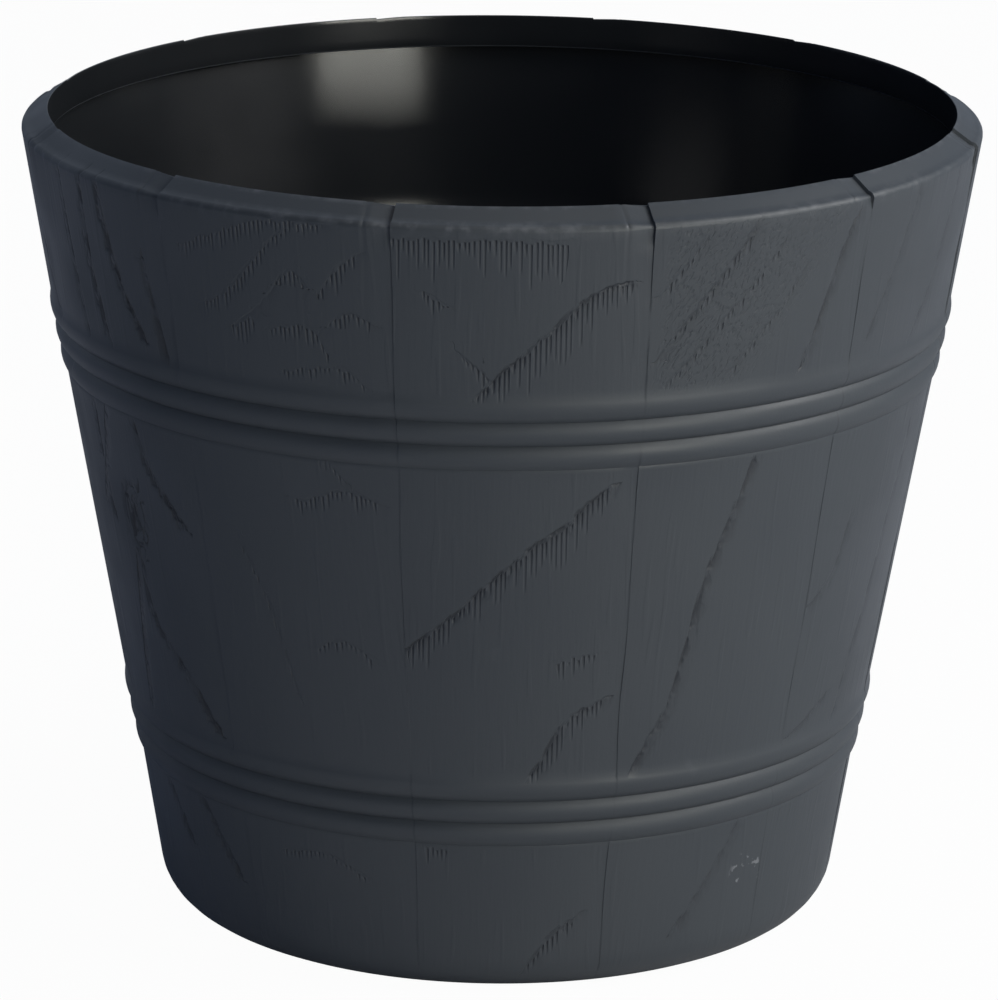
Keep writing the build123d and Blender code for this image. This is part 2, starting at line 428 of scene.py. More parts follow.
def grainLines(stave, dice):
    # The grain of one stave, drawn for the front ones and ruled for the rest
    if stave in staveGrain:
        return staveGrain[stave] + (knotLines() if stave == knot["stave"] else [])
    lines = []
    for low, high in ((10, 68), (98, 234), (264, 332)):
        for _ in range(dice.randint(*otherGrain["perBand"])):
            side = dice.choice((-1, 1))
            here = (side * dice.uniform(-10, 46), dice.uniform(low + (high - low) * 0.4, high))
            points = [here]
            fall = dice.uniform(*otherGrain["fall"])
            for _ in range(4):
                here = (here[0] - side * dice.uniform(6, 14), here[1] - fall / 4 * dice.uniform(0.6, 1.4))
                points.append(here)
            points = [(max(-50, min(50, across)), max(low, height)) for across, height in points]
            lines.append((points, dice.uniform(*otherGrain["crease"]), dice.uniform(*otherGrain["reach"])))
    return lines


def lineField(points, across, height):
    # Signed distance of mesh points from a grain line: positive under it, negative above
    best = np.full(across.shape, 1e9)
    signed = np.full(across.shape, 1e9)
    if points[0][0] > points[-1][0]:
        points = points[::-1]
    for (startX, startZ), (endX, endZ) in zip(points, points[1:]):
        alongX, alongZ = endX - startX, endZ - startZ
        length = alongX * alongX + alongZ * alongZ
        if length < 1e-6:
            continue
        share = np.clip(((across - startX) * alongX + (height - startZ) * alongZ) / length, 0, 1)
        away = np.hypot(across - startX - share * alongX, height - startZ - share * alongZ)
        side = alongZ * (across - startX) - alongX * (height - startZ)
        nearer = away < best
        best = np.where(nearer, away, best)
        signed = np.where(nearer, away * np.where(side >= 0, 1, -1), signed)
    return signed


def smoothLine(points):
    # The same line with its corners cut twice
    for _ in range(2):
        cut = [points[0]]
        for (startX, startZ), (endX, endZ) in zip(points, points[1:]):
            cut.append((startX * 0.75 + endX * 0.25, startZ * 0.75 + endZ * 0.25))
            cut.append((startX * 0.25 + endX * 0.75, startZ * 0.25 + endZ * 0.75))
        points = cut + [points[-1]]
    return points


# Reach of a grain line's two effects on the mesh, in millimetres; the gaps keep neighbours apart
fieldReach = {
    "crease": 4.6,
    "above": 4.5,
    "clear": 9.5,
    "apart": 14.5,
    "past": 6.0,
    "extra": 5.0,
    "widest": 20.0,
    "cleared": 10.0,
    "far": 60.0,
}


def grainFields(lines, across, height):
    # Per mesh point: distance under the nearest line, its crease, height of the line above, tick reach
    far = fieldReach["far"]
    under = np.full(across.shape, far)
    crease = np.zeros(across.shape)
    below = np.full(across.shape, far)
    reach = np.zeros(across.shape)
    for points, lineCrease, lineReach in lines:
        points = smoothLine(points)
        signed = lineField(points, across, height)
        nearer = np.abs(signed) < np.abs(under)
        under = np.where(nearer, signed, under)
        crease = np.where(nearer, lineCrease * (np.abs(signed) < fieldReach["crease"]), crease)
        if points[0][0] > points[-1][0]:
            points = points[::-1]
        places = [point[0] for point in points]
        goesAcross = all(first < second for first, second in zip(places, places[1:]))
        if lineReach <= 0 or not goesAcross:
            continue
        gap = np.interp(across, places, [point[1] for point in points]) - height
        near = (across > places[0] - fieldReach["past"]) & (across < places[-1] + fieldReach["past"])
        within = (across >= places[0]) & (across <= places[-1])
        mine = near & (gap > -fieldReach["above"]) & (gap < lineReach + fieldReach["extra"])
        clear = near & (gap <= -fieldReach["above"]) & (gap > -fieldReach["clear"])
        apart = near & (gap <= -fieldReach["clear"]) & (gap > -fieldReach["apart"])
        below = np.where(mine, gap, np.where(clear, -fieldReach["cleared"], np.where(apart, far, below)))
        reach = np.where(mine, lineReach * within, np.where(clear | apart, 0.0, reach))
    return np.clip(under, -fieldReach["widest"], fieldReach["widest"]), crease, below, reach


def wander(joint, height):
    # How far a joint line strays sideways at a height, in millimetres
    return staves["wander"] * noise.noise(Vector((joint * 7.3, height / staves["wanderLength"], 0.5)))


def rowNormals(points):
    # The section's outward direction at each point
    normals = []
    for number, _ in enumerate(points):
        before = points[max(0, number - 1)]
        after = points[min(len(points) - 1, number + 1)]
        along = Vector((after[0] - before[0], after[1] - before[1])).normalized()
        normals.append((along.y, -along.x))
    return normals


def bridge(faces, lowerRing, upperRing):
    count = len(lowerRing)
    for number in range(count):
        after = (number + 1) % count
        faces.append((lowerRing[number], lowerRing[after], upperRing[after], upperRing[number]))


def bridgeCoarse(faces, coarse, fine):
    # Join a ring to one that has more points
    count = len(coarse)
    for number in range(count):
        after = (number + 1) % count
        span = [fine[(number * coarseStep + extra) % len(fine)] for extra in range(coarseStep + 1)]
        half = coarseStep // 2
        for extra in range(half):
            faces.append((coarse[number], span[extra + 1], span[extra]))
        faces.append((coarse[number], coarse[after], span[half]))
        for extra in range(half, coarseStep):
            faces.append((coarse[after], span[extra + 1], span[extra]))


drain = {"holeRadius": 8.0, "points": 36}


def drainHoles():
    # Middle and radius of each hole, from the plugs that the frame holds
    holes = []
    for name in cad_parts:
        if name.startswith("drain_plug"):
            low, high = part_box(name)
            holes.append(((low[0] + high[0]) / 2 / mm, (low[1] + high[1]) / 2 / mm, drain["holeRadius"]))
    return holes


def addFloor(vertices, faces, rim, height, holes, up):
    # A flat floor inside a ring of points, open at the drain holes; gives back the hole rings
    flat = [Vector(vertices[index][:2]) for index in rim]
    edges = [(number, (number + 1) % len(rim)) for number in range(len(rim))]
    owners = list(rim)
    holeRings = []
    for holeX, holeY, radius in holes:
        first = len(flat)
        ring = []
        for number in range(drain["points"]):
            turn = 2 * math.pi * number / drain["points"]
            place = (holeX + radius * math.cos(turn), holeY + radius * math.sin(turn))
            flat.append(Vector(place))
            vertices.append((place[0], place[1], height))
            owners.append(len(vertices) - 1)
            ring.append(len(vertices) - 1)
            edges.append((first + number, first + (number + 1) % drain["points"]))
        holeRings.append(ring)
    result = delaunay_2d_cdt(flat, edges, [], 1, 1e-6)
    for corners in result[2]:
        middle = sum((result[0][corner] for corner in corners), Vector((0, 0))) / len(corners)
        if any(math.hypot(middle.x - holeX, middle.y - holeY) < radius for holeX, holeY, radius in holes):
            continue
        triangle = [owners[result[3][corner][0]] for corner in corners]
        faces.append(tuple(triangle if up else triangle[::-1]))
    return holeRings


# Pale line along the rim's shoulder and mouth edges, partly wear and partly a painted highlight on those
# edges: its strength, the height of its middle over an edge and its reach
rimWearAndHighlight = {
    "shoulder": {"strength": 0.55, "above": 1.8, "reach": 2.6},
    "mouth": {"strength": 0.7, "above": -0.4, "reach": 1.2},
}


# How pale the rim line is at a height: partly wear, partly a painted highlight on the shoulder and mouth
# edges
def rimWearAndHighlightAt(height):
    shades = []
    for name, edge in (("shoulder", shoulderHeight), ("mouth", potShape["height"])):
        paleWearAndHighlight = rimWearAndHighlight[name]
        away = abs(height - edge - paleWearAndHighlight["above"]) / paleWearAndHighlight["reach"]
        shades.append(paleWearAndHighlight["strength"] * max(0.0, 1 - away))
    return max(shades)


def jointShareAt(joint, stave, height, behind):
    # Share of the joints' depth at one point: full over the rim, faint and uneven between planks
    if joint in (0, 1):
        onFarMouth = behind and height > shoulderHeight + potShape["shoulderDrop"] - 0.1
        return joint * (staves["farMouthShare"] if onFarMouth else 1.0)
    if stave in staves["faintJoints"]:
        joint *= staves["faintJoints"][stave]
    if height <= upperHoopBottom:
        joint *= staves["lowJointShare"]
    uneven = noise.noise(Vector((stave * 5.1, height / staves["unevenLength"], 3.3))) * staves["unevenness"]
    return joint * max(staves["shallowest"], 1 + uneven)


# What each face is finished as, in the order of the tree's materials
faceFinishes = ("Outside", "Inside", "Trimmed Edge")
outsideFace, insideFace, trimmedFace = range(len(faceFinishes))


def buildShellMesh():
    # The whole shell as one closed mesh, with what the joint rule and the grain need as attributes
    outer, slopeRows = outerRows()
    inside, trimmedStart, trimmedEnd = insideRows()
    normals = rowNormals([(row[0], row[1]) for row in outer])
    normals[slopeRows:] = [(0.0, 1.0)] * (len(outer) - slopeRows)
    columns = [(stave, place) for stave in range(staves["count"]) for place in staveColumns]
    vertices = []
    finish = []
    faces = []
    names = ("across", "fromJoint", "jointShare", "onPlank", "staveSeed", "rimWearAndHighlight", "height")
    extra = {name: [] for name in names}
    outward = []
    rings = []

    def finishNewFaces(kind):
        finish.extend([kind] * (len(faces) - len(finish)))

    for (radius, height, joint, plank), (normalR, normalZ) in zip(outer, normals):
        strays = [wander(number, height) for number in range(staves["count"])]
        ring = []
        for stave, place in columns:
            near = max(0.0, 1 - place / staves["wanderReach"])
            far = max(0.0, 1 - (staveTurn - place) / staves["wanderReach"])
            stray = strays[stave] * near + strays[(stave + 1) % staves["count"]] * far
            turn = math.radians(staves["firstJoint"] + stave * staveTurn + place) + stray / radius
            ring.append(len(vertices))
            vertices.append((radius * math.sin(turn), -radius * math.cos(turn), height))
            outward.append((normalR * math.sin(turn), -normalR * math.cos(turn), normalZ))
            extra["across"].append(math.radians(place - staveTurn / 2) * radius * mm)
            extra["fromJoint"].append(math.radians(staveTurn - place) * radius * mm)
            extra["jointShare"].append(jointShareAt(joint, stave, height, math.cos(turn) < 0))
            extra["rimWearAndHighlight"].append(rimWearAndHighlightAt(height))
            extra["onPlank"].append(plank)
            extra["staveSeed"].append(float(stave))
            extra["height"].append(height)
        rings.append(ring)
    for number, (lowerRing, upperRing) in enumerate(zip(rings, rings[1:])):
        bridge(faces, lowerRing, upperRing)
        finishNewFaces(insideFace if number >= len(rings) - meshRows["overMouth"] else outsideFace)
    coarse = columns[::coarseStep]
    coarseTurns = [math.radians(staves["firstJoint"] + stave * staveTurn + place) for stave, place in coarse]

    def coarseRing(radius, height):
        ring = []
        for turn in coarseTurns:
            ring.append(len(vertices))
            vertices.append((radius * math.sin(turn), -radius * math.cos(turn), height))
        return ring

    insideRings = [coarseRing(*point) for point in inside]
    bridgeCoarse(faces, insideRings[0], rings[-1])
    finishNewFaces(insideFace)
    for number, (lowerRing, upperRing) in enumerate(zip(insideRings, insideRings[1:])):
        bridge(faces, lowerRing, upperRing)
        finishNewFaces(trimmedFace if trimmedStart <= number < trimmedEnd - 1 else insideFace)
    holes = drainHoles()
    topHoles = addFloor(vertices, faces, insideRings[-1], floorTop, holes, True)
    footRound = coarseRing(footInner, potShape["footRounding"])
    underEdge = coarseRing(footInner, potShape["footHeight"])
    bridgeCoarse(faces, footRound, rings[0])
    bridge(faces, footRound, underEdge)
    underHoles = addFloor(vertices, faces, underEdge, potShape["footHeight"], holes, False)
    for topRing, underRing in zip(topHoles, underHoles):
        bridge(faces, underRing, topRing)
    finishNewFaces(insideFace)
    return vertices, faces, finish, extra, outward


# The plank right of the middle is hatched with small leaning marks near the rim
hatched = {
    "stave": 1,
    "across": (-48, 34),
    "height": (262, 332),
    "lean": 1.35,
    "fade": {"left": 6, "right": 14, "foot": 6, "head": 4},
    "lengthScale": 260.0,
    "widthScale": 480.0,
    "slant": 0.75,
    "threshold": (0.5, 0.66),
}

# A few pale flecks lie lower down on it
flecks = {
    "stave": 1,
    "across": 30,
    "height": 42,
    "radius": 11,
    "edge": 0.35,
    "scale": 260.0,
    "threshold": (0.57, 0.63),
}


def addMarks(extra):
    # Where the hatching and the flecks are, as two attributes
    across = np.array(extra["across"]) / mm
    height = np.array(extra["height"])
    seed = np.array(extra["staveSeed"])
    (left, topRight), (foot, head), fade = hatched["across"], hatched["height"], hatched["fade"]
    right = topRight - (head - height) / hatched["lean"]
    sides = np.clip((across - left) / fade["left"], 0, 1)
    sides = sides * np.clip((right - across) / fade["right"] + 1, 0, 1)
    ends = np.clip((height - foot) / fade["foot"], 0, 1) * np.clip((head - height) / fade["head"] + 1, 0, 1)
    extra["hatching"] = list(np.where(seed == hatched["stave"], sides * ends, 0.0))
    away = np.hypot(across - flecks["across"], height - flecks["height"]) / flecks["radius"]
    extra["fleck"] = list(np.where(seed == flecks["stave"], np.clip(1 - away, 0, 1), 0.0))


grainSets = ("A", "B")  # neighbouring lines go in different sets, so they never mix
grainParts = {"under": mm, "crease": 1, "below": mm, "reach": mm}
farAway = 60.0 * mm  # for points that no grain line or joint comes near


def addGrain(extra):
    # Fill the grain attributes stave by stave
    dice = random.Random(otherGrain["seed"])
    across = np.array(extra["across"]) / mm
    height = np.array(extra["height"])
    seed = np.array(extra["staveSeed"])
    fields = {name + letter: np.zeros(across.shape) for name in grainParts for letter in grainSets}

    def middleHeight(line):
        return sum(point[1] for point in line[0]) / len(line[0])

    for stave in range(staves["count"]):
        mine = seed == stave
        number = stave if stave <= staves["count"] // 2 else stave - staves["count"]
        lines = sorted(grainLines(number, dice), key=lambda line: -middleHeight(line))
        for offset, letter in enumerate(grainSets):
            results = grainFields(lines[offset::len(grainSets)], across[mine], height[mine])
            for (name, size), values in zip(grainParts.items(), results):
                fields[name + letter][mine] = values * size
    for name, values in fields.items():
        extra[name] = list(values)


def shellObject():
    vertices, faces, finish, extra, outward = buildShellMesh()
    addGrain(extra)
    addMarks(extra)
    mesh = bpy.data.meshes.new("potShell")
    mesh.from_pydata([(x * mm, y * mm, z * mm) for x, y, z in vertices], [], faces)
    del extra["height"]
    total = len(vertices)
    for name, values in extra.items():
        fill = farAway if name == "fromJoint" or name.startswith(("under", "below")) else 0.0
        layer = mesh.attributes.new(name, "FLOAT", "POINT")
        layer.data.foreach_set("value", values + [fill] * (total - len(values)))
    layer = mesh.attributes.new("outward", "FLOAT_VECTOR", "POINT")
    flat = [value for vector in outward for value in vector] + [0.0] * (3 * (total - len(outward)))
    layer.data.foreach_set("vector", flat)
    layer = mesh.attributes.new("finish", "INT", "FACE")
    layer.data.foreach_set("value", finish)
    mesh.validate(verbose=False)
    model = bmesh.new()
    model.from_mesh(mesh)
    bmesh.ops.recalc_face_normals(model, faces=model.faces)
    openEdges = sum(1 for edge in model.edges if not edge.is_manifold)
    model.to_mesh(mesh)
    model.free()
    shell = bpy.data.objects.new("moulded_pot", mesh)
    bpy.context.scene.collection.objects.link(shell)
    print("shell mesh:", len(mesh.vertices), "points,", len(mesh.polygons), "faces,", openEdges, "open edges")
    return shell


def setOrLink(tree, socket, value):
    # A node's input takes a plain value, or a link from another node
    if isinstance(value, bpy.types.NodeSocket):
        tree.links.new(value, socket)
    else:
        socket.default_value = value


def newMath(tree, operation, *values, clamp=False):
    # One math node; values are numbers or sockets
    node = tree.nodes.new("ShaderNodeMath")
    node.operation = operation
    node.use_clamp = clamp
    for socket, value in zip(node.inputs, values):
        setOrLink(tree, socket, value)
    return node.outputs[0]


def mathIn(tree):
    # The same for one tree, to keep long sums short
    def calc(operation, *values, clamp=False):
        return newMath(tree, operation, *values, clamp=clamp)

    return calc


def newRange(tree, value, fromLow, fromHigh, toLow=0.0, toHigh=1.0):
    # A smooth step of a value between two limits
    node = tree.nodes.new("ShaderNodeMapRange")
    node.interpolation_type = "SMOOTHSTEP"
    names = ("Value", "From Min", "From Max", "To Min", "To Max")
    for name, given in zip(names, (value, fromLow, fromHigh, toLow, toHigh)):
        setOrLink(tree, node.inputs[name], given)
    return node.outputs["Result"]


def newNoise(tree, place, scale, detail):
    node = tree.nodes.new("ShaderNodeTexNoise")
    node.inputs["Detail"].default_value = detail
    setOrLink(tree, node.inputs["Scale"], scale)
    tree.links.new(place, node.inputs["Vector"])
    return node.outputs[0]


def newPlace(tree, *values):
    # A vector out of up to three numbers or sockets
    node = tree.nodes.new("ShaderNodeCombineXYZ")
    for socket, value in zip(node.inputs, values):
        setOrLink(tree, socket, value)
    return node.outputs[0]


def jointTree():
    # Geometry nodes: press the stave joints and the unevenness of the planks into the wall
    tree = bpy.data.node_groups.new("staveJoints", "GeometryNodeTree")
    calc = mathIn(tree)
    tree.interface.new_socket("Geometry", in_out="INPUT", socket_type="NodeSocketGeometry")
    tree.interface.new_socket("Geometry", in_out="OUTPUT", socket_type="NodeSocketGeometry")
    sizes = {
        "Joint Depth": staves["jointDepth"],
        "Strip Width": staves["stripWidth"],
        "Hairline Depth": staves["hairlineDepth"],
        "Hairline Width": staves["hairlineWidth"],
        "Undulation": staves["undulation"],
        "Undulation Scale": staves["undulationScale"],
    }
    for name, value in sizes.items():
        tree.interface.new_socket(name, in_out="INPUT", socket_type="NodeSocketFloat").default_value = value
    for name in faceFinishes:
        tree.interface.new_socket(name, in_out="INPUT", socket_type="NodeSocketMaterial")
    given = tree.nodes.new("NodeGroupInput").outputs
    result = tree.nodes.new("NodeGroupOutput")

    def attribute(name, kind="FLOAT"):
        node = tree.nodes.new("GeometryNodeInputNamedAttribute")
        node.data_type = kind
        node.inputs["Name"].default_value = name
        return next(socket for socket in node.outputs if socket.enabled and socket.name == "Attribute")

    fromJoint = attribute("fromJoint")
    # The bevelled strip deepens towards the joint line
    strip = calc("SUBTRACT", 1.0, calc("DIVIDE", fromJoint, given["Strip Width"]), clamp=True)
    depth = calc("MULTIPLY", strip, given["Joint Depth"])
    # A hairline marks the strip's far side
    away = calc("ABSOLUTE", calc("SUBTRACT", fromJoint, given["Strip Width"]))
    hair = calc("SUBTRACT", 1.0, calc("DIVIDE", away, given["Hairline Width"]), clamp=True)
    depth = calc("ADD", depth, calc("MULTIPLY", hair, given["Hairline Depth"]))
    # Planks are never quite flat
    shift = tree.nodes.new("ShaderNodeVectorMath")
    shift.operation = "MULTIPLY_ADD"
    tree.links.new(tree.nodes.new("GeometryNodeInputPosition").outputs[0], shift.inputs[0])
    shift.inputs[1].default_value = (1.0, 1.0, staves["undulationStretch"])
    ownPlace = newPlace(tree, 0.0, 0.0, calc("MULTIPLY", attribute("staveSeed"), staves["seedStep"]))
    tree.links.new(ownPlace, shift.inputs[2])
    swell = newNoise(tree, shift.outputs[0], given["Undulation Scale"], staves["undulationDetail"])
    wave = calc("MULTIPLY", calc("MULTIPLY", swell, given["Undulation"]), attribute("onPlank"))
    inset = calc("ADD", calc("MULTIPLY", depth, attribute("jointShare")), wave)
    move = tree.nodes.new("ShaderNodeVectorMath")
    move.operation = "SCALE"
    tree.links.new(attribute("outward", "FLOAT_VECTOR"), move.inputs[0])
    tree.links.new(calc("MULTIPLY", inset, -1.0), move.inputs["Scale"])
    setPosition = tree.nodes.new("GeometryNodeSetPosition")
    tree.links.new(given["Geometry"], setPosition.inputs["Geometry"])
    tree.links.new(move.outputs[0], setPosition.inputs["Offset"])
    realize = tree.nodes.new("GeometryNodeRealizeInstances")
    tree.links.new(setPosition.outputs[0], realize.inputs[0])
    here = realize.outputs[0]
    for number, name in enumerate(faceFinishes):
        same = tree.nodes.new("FunctionNodeCompare")
        same.data_type = "INT"
        same.operation = "EQUAL"
        tree.links.new(attribute("finish", "INT"), same.inputs[2])
        same.inputs[3].default_value = number
        setMaterial = tree.nodes.new("GeometryNodeSetMaterial")
        tree.links.new(here, setMaterial.inputs["Geometry"])
        tree.links.new(same.outputs[0], setMaterial.inputs["Selection"])
        tree.links.new(given[name], setMaterial.inputs["Material"])
        here = setMaterial.outputs[0]
    tree.links.new(here, result.inputs[0])
    return tree


def applyTree(thing, tree, materials):
    # Run a geometry nodes tree on an object and keep the result as its plain mesh
    modifier = thing.modifiers.new("staves", "NODES")
    modifier.node_group = tree
    for socket in tree.interface.items_tree:
        if socket.in_out == "INPUT" and socket.name in materials:
            modifier[socket.identifier] = materials[socket.name]
    depsgraph = bpy.context.evaluated_depsgraph_get()
    made = bpy.data.meshes.new_from_object(thing.evaluated_get(depsgraph), depsgraph=depsgraph)
    thing.modifiers.remove(modifier)
    thing.data = made
    for name in ("outward", "jointShare", "finish", "fromJoint"):
        if name in made.attributes:
            made.attributes.remove(made.attributes[name])
    made.shade_smooth()
    made.set_sharp_from_angle(angle=math.radians(staves["sharpAngle"]))
    return made


def groupSockets(group, inputs, outputs):
    for name, (kind, value) in inputs.items():
        group.interface.new_socket(name, in_out="INPUT", socket_type=kind).default_value = value
    for name in outputs:
        group.interface.new_socket(name, in_out="OUTPUT", socket_type="NodeSocketFloat")
    return group.nodes.new("NodeGroupInput"), group.nodes.new("NodeGroupOutput")


# Shape of one grain tick and of the crease's edge, in metres and in shares
tickShape = {
    "seedStep": 17.37,
    "sway": 0.3,  # how far a tick strays sideways, as a share of the pitch
    "core": 0.06,
    "edge": 0.34,
    "tickHighlight": (0.24, 0.44),  # from the tick's middle to the painted highlight beside it
    "shortest": 0.2,
    "lateStart": 0.0018,
    "head": (-0.0003, 0.0006),
    "tail": (-0.004, 0.0005),
    "fadeLength": 0.0035,
    "fadedTo": 0.4,
    "least": (0.0008, 0.003),
    "creaseRagged": 0.0011,
    "creaseEdge": (-0.0006, 0.0002),
    "creaseGaps": (0.35, 0.6, 0.3, 1.0),
    "gapsAcross": 160.0,
    "gapsUp": 110.0,
}


def grainReliefGroup():
    # Relief of one set of grain lines: ticks that hang under them and the crease along them
    group = bpy.data.node_groups.new("mouldedGrain", "ShaderNodeTree")
    names = ("Across", "Up", "Seed", "Under", "Crease", "Below", "Reach")
    sizes = {"Tick Pitch": 0.002, "Tick Depth": 0.0004, "Crease Depth": 0.0006, "Crease Width": 0.002}
    inputs = {name: ("NodeSocketFloat", 0.0) for name in names}
    inputs.update({name: ("NodeSocketFloat", value) for name, value in sizes.items()})
    given, result = groupSockets(group, inputs, ("Depth", "Groove", "Tick Highlight"))
    calc, shape = mathIn(group), tickShape

    def value(name):
        return given.outputs[name]

    # Which tick, and where across it
    place = calc("DIVIDE", value("Across"), value("Tick Pitch"))
    place = calc("ADD", place, calc("MULTIPLY", value("Seed"), shape["seedStep"]))
    chance = group.nodes.new("ShaderNodeTexWhiteNoise")
    group.links.new(newPlace(group, calc("FLOOR", place), value("Seed")), chance.inputs["Vector"])
    parts = group.nodes.new("ShaderNodeSeparateColor")
    group.links.new(chance.outputs["Color"], parts.inputs[0])
    sway = calc("MULTIPLY", calc("SUBTRACT", parts.outputs[0], 0.5), shape["sway"])
    fromMiddle = calc("ABSOLUTE", calc("ADD", calc("SUBTRACT", calc("FRACT", place), 0.5), sway))
    pulse = newRange(group, fromMiddle, shape["core"], shape["edge"], 1.0, 0.0)
    # Each tick has its own start and length, and fades downwards
    longer = calc("MULTIPLY", parts.outputs[1], 1 - shape["shortest"])
    length = calc("MULTIPLY", value("Reach"), calc("ADD", shape["shortest"], longer))
    down = calc("SUBTRACT", value("Below"), calc("MULTIPLY", parts.outputs[2], shape["lateStart"]))
    begin = newRange(group, down, *shape["head"])
    ended = newRange(group, calc("SUBTRACT", down, length), *shape["tail"], 1.0, 0.0)
    faded = calc("EXPONENT", calc("DIVIDE", down, -shape["fadeLength"]))
    fade = calc("ADD", shape["fadedTo"], calc("MULTIPLY", 1 - shape["fadedTo"], faded), clamp=True)
    longEnough = newRange(group, value("Reach"), *shape["least"])
    ticked = calc("MULTIPLY", calc("MULTIPLY", begin, ended), longEnough)
    tick = calc("MULTIPLY", ticked, calc("MULTIPLY", pulse, fade))
    # A pale stroke beside each tick: painted highlight for the lit edge of its groove
    tickHighlight = calc("MULTIPLY", calc("MULTIPLY", ticked, fade), newRange(group, fromMiddle, *shape["tickHighlight"]))
    # The crease drops sharply at the line, with a ragged edge, and comes back slowly under it
    ragged = calc("MULTIPLY", calc("SUBTRACT", parts.outputs[1], 0.5), shape["creaseRagged"])
    under = calc("ADD", value("Under"), ragged)
    drop = newRange(group, under, *shape["creaseEdge"])
    width = calc("MULTIPLY", value("Crease Width"), calc("MAXIMUM", value("Crease"), 1.0))
    back = calc("EXPONENT", calc("DIVIDE", calc("MAXIMUM", under, 0.0), calc("MULTIPLY", width, -1.0)))
    gapsAcross = calc("MULTIPLY", value("Across"), shape["gapsAcross"])
    gapsUp = calc("MULTIPLY", value("Up"), shape["gapsUp"])
    gaps = group.nodes.new("ShaderNodeTexNoise")
    gaps.noise_dimensions = "2D"
    gaps.inputs["Scale"].default_value = 1.0
    gaps.inputs["Detail"].default_value = 2.0
    group.links.new(newPlace(group, gapsAcross, gapsUp), gaps.inputs["Vector"])
    strength = calc("MULTIPLY", value("Crease"), newRange(group, gaps.outputs[0], *shape["creaseGaps"]))
    crease = calc("MULTIPLY", calc("MULTIPLY", drop, back), strength)
    sunkCrease = calc("MULTIPLY", crease, value("Crease Depth"))
    deep = calc("ADD", calc("MULTIPLY", tick, value("Tick Depth")), sunkCrease)
    group.links.new(deep, result.inputs["Depth"])
    # The groove mask only darkens the colour: painted shade in the ticks and creases
    group.links.new(calc("MAXIMUM", tick, crease), result.inputs["Groove"])
    group.links.new(tickHighlight, result.inputs["Tick Highlight"])
    return group


# Streaks and strokes along the planks
brushing = {
    "perMetre": 520.0,
    "lengthShare": 0.085,
    "seedStep": 3.1,
    "strokeScale": 0.5,
    "strokes": (0.6, 0.72),
}


def brushGroup():
    # Fine streaks that run up and down the planks, and a few stronger strokes
    group = bpy.data.node_groups.new("brushedPlank", "ShaderNodeTree")
    inputs = {name: ("NodeSocketFloat", 0.0) for name in ("Across", "Up", "Seed")}
    inputs["Streaks Per Metre"] = ("NodeSocketFloat", brushing["perMetre"])
    inputs["Length Share"] = ("NodeSocketFloat", brushing["lengthShare"])
    given, result = groupSockets(group, inputs, ("Streaks", "Strokes"))
    calc, perMetre = mathIn(group), given.outputs["Streaks Per Metre"]
    across = calc("MULTIPLY", given.outputs["Across"], perMetre)
    up = calc("MULTIPLY", calc("MULTIPLY", given.outputs["Up"], perMetre), given.outputs["Length Share"])
    place = newPlace(group, across, up, calc("MULTIPLY", given.outputs["Seed"], brushing["seedStep"]))
    group.links.new(newNoise(group, place, 1.0, 3.0), result.inputs["Streaks"])
    strokes = newRange(group, newNoise(group, place, brushing["strokeScale"], 1.0), *brushing["strokes"])
    group.links.new(strokes, result.inputs["Strokes"])
    return group


# Noise scales per metre, and where the scuffs begin
plasticSkin = {
    "clouds": 14.0,
    "pits": 900.0,
    "scuffAmount": 0.2,
    "scuffScale": 55.0,
    "scuffRange": (0.66, 0.76),
    "patchScale": 9.0,
    "patchRange": (0.52, 0.68),
}


def skinGroup():
    # Moulded plastic skin: cloudy patches, pin-prick texture and a few light scuffs
    group = bpy.data.node_groups.new("mouldedSkin", "ShaderNodeTree")
    inputs = {
        "Place": ("NodeSocketVector", (0.0, 0.0, 0.0)),
        "Cloud Scale": ("NodeSocketFloat", plasticSkin["clouds"]),
        "Pit Scale": ("NodeSocketFloat", plasticSkin["pits"]),
        "Scuff Amount": ("NodeSocketFloat", plasticSkin["scuffAmount"]),
    }
    given, result = groupSockets(group, inputs, ("Cloud", "Pits", "Scuff"))
    place = given.outputs["Place"]
    group.links.new(newNoise(group, place, given.outputs["Cloud Scale"], 3.0), result.inputs["Cloud"])
    group.links.new(newNoise(group, place, given.outputs["Pit Scale"], 1.0), result.inputs["Pits"])
    look = plasticSkin
    spots = newRange(group, newNoise(group, place, look["scuffScale"], 4.0), *look["scuffRange"])
    patch = newRange(group, newNoise(group, place, look["patchScale"], 1.0), *look["patchRange"])
    scuff = newMath(group, "MULTIPLY", newMath(group, "MULTIPLY", spots, patch), given.outputs["Scuff Amount"])
    group.links.new(scuff, result.inputs["Scuff"])
    return group


grainRelief = grainReliefGroup()
brushedPlank = brushGroup()
mouldedSkin = skinGroup()


def newMaterial(name):
    material = bpy.data.materials.new(name)
    material.use_nodes = True
    tree = material.node_tree
    shader = next(node for node in tree.nodes if node.type == "BSDF_PRINCIPLED")
    return material, tree, shader


def placeGroup(tree, group, values):
    node = tree.nodes.new("ShaderNodeGroup")
    node.node_tree = group
    for name, value in values.items():
        setOrLink(tree, node.inputs[name], value)
    return node


def mixColour(tree, factor, first, second):
    node = tree.nodes.new("ShaderNodeMix")
    node.data_type = "RGBA"
    tree.links.new(factor, node.inputs[0])
    for socket, value in ((node.inputs[6], first), (node.inputs[7], second)):
        setOrLink(tree, socket, (*value, 1.0) if isinstance(value, tuple) else value)
    return node.outputs[2]


def addBump(tree, height, normalInto):
    node = tree.nodes.new("ShaderNodeBump")
    node.inputs["Strength"].default_value = 1.0
    node.inputs["Distance"].default_value = 1.0
    tree.links.new(height, node.inputs["Height"])
    tree.links.new(node.outputs[0], normalInto)


